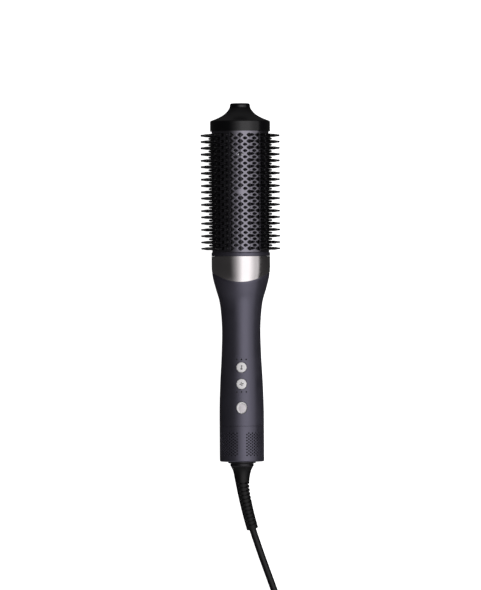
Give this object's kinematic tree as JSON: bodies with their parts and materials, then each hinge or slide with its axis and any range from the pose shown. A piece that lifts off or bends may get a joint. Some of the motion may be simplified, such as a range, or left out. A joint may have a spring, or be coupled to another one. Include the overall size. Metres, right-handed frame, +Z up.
{
  "type": "hot air brush",
  "caption": "Round hot air styling brush: perforated metal barrel with bristles, waisted handle with push buttons, air inlet sleeve and swivel cord.",
  "frame": {"origin": "on the surface that the brush lies on, under the middle of the brush (its cord, coil and plug not counted)", "axes": "+Y along the brush from its cord end to its cool tip, which lies a few degrees uphill; +Z up; the buttons face up; +X to the right when the tip points away"},
  "size_m": [0.0981, 0.6511, 0.0805],
  "materials": {
    "tip_plastic": "satin gloss heat-resistant plastic",
    "dark_plastic": "moulded matte",
    "zinc_steel": "zinc plated",
    "barrel_metal": "anodised, satin",
    "bristle_nylon": "satin nylon",
    "mica": "mica sheet",
    "heater_wire": "oxidised nichrome",
    "heater_shell": "rolled sheet",
    "fuse_metal": "plain",
    "duct_metal": "pressed sheet",
    "bright_band": "polished, slightly smoky",
    "soft_touch": "soft-touch satin, graphite",
    "silver_key": "pearl silver",
    "silicone": "translucent silicone",
    "lamp_clear": "smoked clear",
    "board_laminate": "glass laminate",
    "component_plastic": "moulded",
    "fan_rubber": "matte",
    "impeller_plastic": "moulded",
    "lead_insulation": "PVC insulation",
    "inlet_plastic": "satin",
    "screen_mesh": "woven wire",
    "relief_rubber": "matte",
    "cord_jacket": "matte jacket",
    "tie_fabric": "hook-and-loop tape",
    "plug_plastic": "moulded",
    "pin_brass": "nickel-plated brass"
  },
  "bodies": {
    "cord_set": {"swivel_hub": "dark_plastic", "swivel_clip": "zinc_steel", "strain_relief": "relief_rubber", "cord": "cord_jacket", "cord_tail": "cord_jacket", "cord_coil": "cord_jacket", "coil_tie": "tie_fabric", "plug": "plug_plastic", "plug_pins": "pin_brass"},
    "handle": {"tip_cap": "tip_plastic", "tip_carrier": "dark_plastic", "chassis": "dark_plastic", "end_cap": "dark_plastic", "fan_housing": "dark_plastic", "barrel_collar": "dark_plastic", "tip_screw": "zinc_steel", "shell_screws": "zinc_steel", "motor_can": "zinc_steel", "barrel": "barrel_metal", "short_bristle_strips": "bristle_nylon", "bristle_strip_01": "bristle_nylon", "bristle_strip_02": "bristle_nylon", "bristle_strip_03": "bristle_nylon", "bristle_strip_04": "bristle_nylon", "bristle_strip_05": "bristle_nylon", "bristle_strip_06": "bristle_nylon", "bristle_strip_07": "bristle_nylon", "bristle_strip_08": "bristle_nylon", "bristle_strip_09": "bristle_nylon", "bristle_strip_10": "bristle_nylon", "bristle_strip_11": "bristle_nylon", "bristle_strip_12": "bristle_nylon", "bristle_strip_13": "bristle_nylon", "bristle_strip_14": "bristle_nylon", "bristle_strip_15": "bristle_nylon", "bristle_strip_16": "bristle_nylon", "bristle_strip_17": "bristle_nylon", "bristle_strip_18": "bristle_nylon", "heater_core": "mica", "heater_winding": "heater_wire", "heater_sleeve": "heater_shell", "thermal_fuse": "fuse_metal", "heat_shield": "duct_metal", "air_spreader": "duct_metal", "neck_band": "bright_band", "front_shell": "soft_touch", "rear_shell": "soft_touch", "key_mat": "silicone", "lamp_lenses": "lamp_clear", "control_board": "board_laminate", "board_parts": "component_plastic", "fan_cushion": "fan_rubber", "power_leads": "lead_insulation"},
    "fan": {"motor_rotor": "zinc_steel", "fan_impeller": "impeller_plastic"},
    "inlet": {"inlet_sleeve": "inlet_plastic", "filter_screen": "screen_mesh"},
    "heat_key": {"heat_button": "silver_key"},
    "speed_key": {"speed_button": "silver_key"},
    "power_key": {"power_button": "silver_key"}
  },
  "joints": [
    {"name": "cord_swivel", "type": "hinge", "parent": "cord_set", "child": "handle", "pos_m": [0, -0.1304, 0.01981], "axis": [0, 0.9964, 0.0842], "continuous": true},
    {"name": "inlet_twist", "type": "hinge", "parent": "handle", "child": "inlet", "pos_m": [0, -0.11446, 0.02116], "axis": [0, 0.9964, 0.0842], "range_deg": [0, 25]},
    {"name": "fan_spin", "type": "hinge", "parent": "handle", "child": "fan", "pos_m": [0, -0.01282, 0.02975], "axis": [0, 0.9964, 0.0842], "continuous": true},
    {"name": "heat_press", "type": "slide", "parent": "handle", "child": "heat_key", "axis": [0, 0.0842, -0.9964], "range_m": [0, 0.0008], "stiffness_N_per_m": 1200, "springref_m": -0.001},
    {"name": "speed_press", "type": "slide", "parent": "handle", "child": "speed_key", "axis": [0, 0.0842, -0.9964], "range_m": [0, 0.0008], "stiffness_N_per_m": 1200, "springref_m": -0.001},
    {"name": "power_press", "type": "slide", "parent": "handle", "child": "power_key", "axis": [0, 0.0842, -0.9964], "range_m": [0, 0.0008], "stiffness_N_per_m": 1200, "springref_m": -0.001}
  ]
}
